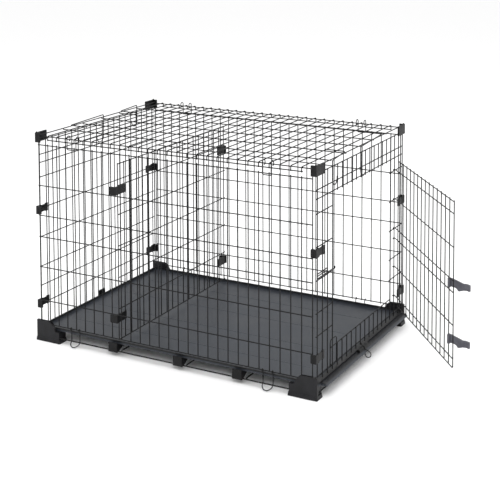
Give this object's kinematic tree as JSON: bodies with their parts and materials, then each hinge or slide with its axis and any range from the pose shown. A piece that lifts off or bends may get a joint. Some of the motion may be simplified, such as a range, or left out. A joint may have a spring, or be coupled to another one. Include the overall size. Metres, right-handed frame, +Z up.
{
  "type": "pet crate",
  "caption": "Large folding wire pet crate with its end door open, moulded corner clips and feet, a divider panel and a slide-out tray",
  "frame": {"origin": "centre of the crate's footprint on the floor", "axes": "+X along the crate to the door end, +Y to the back long panel, +Z up"},
  "size_m": [1.6822, 0.834, 0.82],
  "materials": {
    "wire": "black powder coat on steel wire, slightly uneven",
    "clip": "moulded black plastic with a fine matt grain",
    "foot": "moulded black plastic, satin, worn at its edges",
    "latch": "moulded grey plastic, satin",
    "tray": "vacuum-formed plastic, dark grey, faintly rippled"
  },
  "bodies": {
    "crate": {"front_panel": "wire", "back_panel": "wire", "left_panel": "wire", "right_panel": "wire", "roof_panel": "wire", "divider_panel": "wire", "clip_upper_front_right": "clip", "clip_upper_front_left": "clip", "clip_upper_back_right": "clip", "clip_upper_back_left": "clip", "clip_lower_front_right": "clip", "clip_lower_front_left": "clip", "clip_lower_back_right": "clip", "clip_lower_back_left": "clip", "cap_front_right": "clip", "cap_front_left": "clip", "cap_back_right": "clip", "cap_back_left": "clip", "divider_clip_upper_front": "clip", "divider_clip_upper_back": "clip", "divider_clip_lower_front": "clip", "divider_clip_lower_back": "clip", "base_frame": "wire", "foot_front_right": "foot", "foot_front_left": "foot", "foot_back_right": "foot", "foot_back_left": "foot", "bracket_front_1": "clip", "bracket_front_2": "clip", "bracket_front_3": "clip", "bracket_back_1": "clip", "bracket_back_2": "clip", "bracket_back_3": "clip", "bracket_left": "clip", "fence_hook": "wire"},
    "door": {"door_panel": "wire"},
    "door_latch_upper": {"latch_upper": "latch"},
    "door_latch_lower": {"latch_lower": "latch"},
    "tray": {"tray": "tray", "latch_retainer": "clip"},
    "tray_latch": {"tray_latch": "wire"},
    "roof_hook_right_one": {"roof_hook_right_one": "wire"},
    "roof_hook_right_two": {"roof_hook_right_two": "wire"},
    "roof_hook_left_one": {"roof_hook_left_one": "wire"},
    "roof_hook_left_two": {"roof_hook_left_two": "wire"},
    "roof_loop_front_left": {"roof_loop_front_left": "wire"},
    "base_loop_front_left": {"base_loop_front_left": "wire"},
    "roof_loop_front_right": {"roof_loop_front_right": "wire"},
    "base_loop_front_right": {"base_loop_front_right": "wire"},
    "roof_loop_back_left": {"roof_loop_back_left": "wire"},
    "base_loop_back_left": {"base_loop_back_left": "wire"},
    "roof_loop_back_right": {"roof_loop_back_right": "wire"},
    "base_loop_back_right": {"base_loop_back_right": "wire"}
  },
  "joints": [
    {"name": "door_hinge", "type": "hinge", "parent": "crate", "child": "door", "pos_m": [0.6, 0.30375, 0.4], "axis": [0, 0, 1], "range_deg": [-40.25, 110]},
    {"name": "upper_latch_pivot", "type": "hinge", "parent": "door", "child": "door_latch_upper", "pos_m": [0.98732, -0.14073, 0.3935], "axis": [0, 0, 1], "range_deg": [-31.75, 60]},
    {"name": "lower_latch_pivot", "type": "hinge", "parent": "door", "child": "door_latch_lower", "pos_m": [0.98732, -0.14073, 0.194], "axis": [0, 0, 1], "range_deg": [-31.75, 60]},
    {"name": "tray_slide", "type": "slide", "parent": "crate", "child": "tray", "axis": [1, 0, 0], "range_m": [0, 1.1]},
    {"name": "tray_latch_pivot", "type": "hinge", "parent": "tray", "child": "tray_latch", "pos_m": [0.617, -0.036, 0.0605], "axis": [0, -1, 0], "range_deg": [0, 50]},
    {"name": "roof_hook_right_one_pivot", "type": "hinge", "parent": "crate", "child": "roof_hook_right_one", "pos_m": [0.56, -0.131, 0.81102], "axis": [-1, 0, 0], "range_deg": [0, 100]},
    {"name": "roof_hook_right_two_pivot", "type": "hinge", "parent": "crate", "child": "roof_hook_right_two", "pos_m": [0.56, 0.206, 0.81102], "axis": [-1, 0, 0], "range_deg": [0, 100]},
    {"name": "roof_hook_left_one_pivot", "type": "hinge", "parent": "crate", "child": "roof_hook_left_one", "pos_m": [-0.56, 0.131, 0.81102], "axis": [1, 0, 0], "range_deg": [0, 100]},
    {"name": "roof_hook_left_two_pivot", "type": "hinge", "parent": "crate", "child": "roof_hook_left_two", "pos_m": [-0.56, -0.206, 0.81102], "axis": [1, 0, 0], "range_deg": [0, 100]},
    {"name": "roof_loop_front_left_pivot", "type": "hinge", "parent": "crate", "child": "roof_loop_front_left", "pos_m": [-0.426, -0.39, 0.80298], "axis": [-1, 0, 0], "range_deg": [0, 100]},
    {"name": "base_loop_front_left_pivot", "type": "hinge", "parent": "crate", "child": "base_loop_front_left", "pos_m": [-0.4245, -0.40077, 0.069], "axis": [1, 0, 0], "range_deg": [0, 12]},
    {"name": "roof_loop_front_right_pivot", "type": "hinge", "parent": "crate", "child": "roof_loop_front_right", "pos_m": [0.415, -0.39, 0.80298], "axis": [-1, 0, 0], "range_deg": [0, 100]},
    {"name": "base_loop_front_right_pivot", "type": "hinge", "parent": "crate", "child": "base_loop_front_right", "pos_m": [0.414, -0.40077, 0.069], "axis": [1, 0, 0], "range_deg": [0, 12]},
    {"name": "roof_loop_back_left_pivot", "type": "hinge", "parent": "crate", "child": "roof_loop_back_left", "pos_m": [-0.426, 0.39, 0.80298], "axis": [1, 0, 0], "range_deg": [0, 100]},
    {"name": "base_loop_back_left_pivot", "type": "hinge", "parent": "crate", "child": "base_loop_back_left", "pos_m": [-0.4245, 0.40077, 0.069], "axis": [-1, 0, 0], "range_deg": [0, 12]},
    {"name": "roof_loop_back_right_pivot", "type": "hinge", "parent": "crate", "child": "roof_loop_back_right", "pos_m": [0.415, 0.39, 0.80298], "axis": [1, 0, 0], "range_deg": [0, 100]},
    {"name": "base_loop_back_right_pivot", "type": "hinge", "parent": "crate", "child": "base_loop_back_right", "pos_m": [0.414, 0.40077, 0.069], "axis": [-1, 0, 0], "range_deg": [0, 12]}
  ]
}
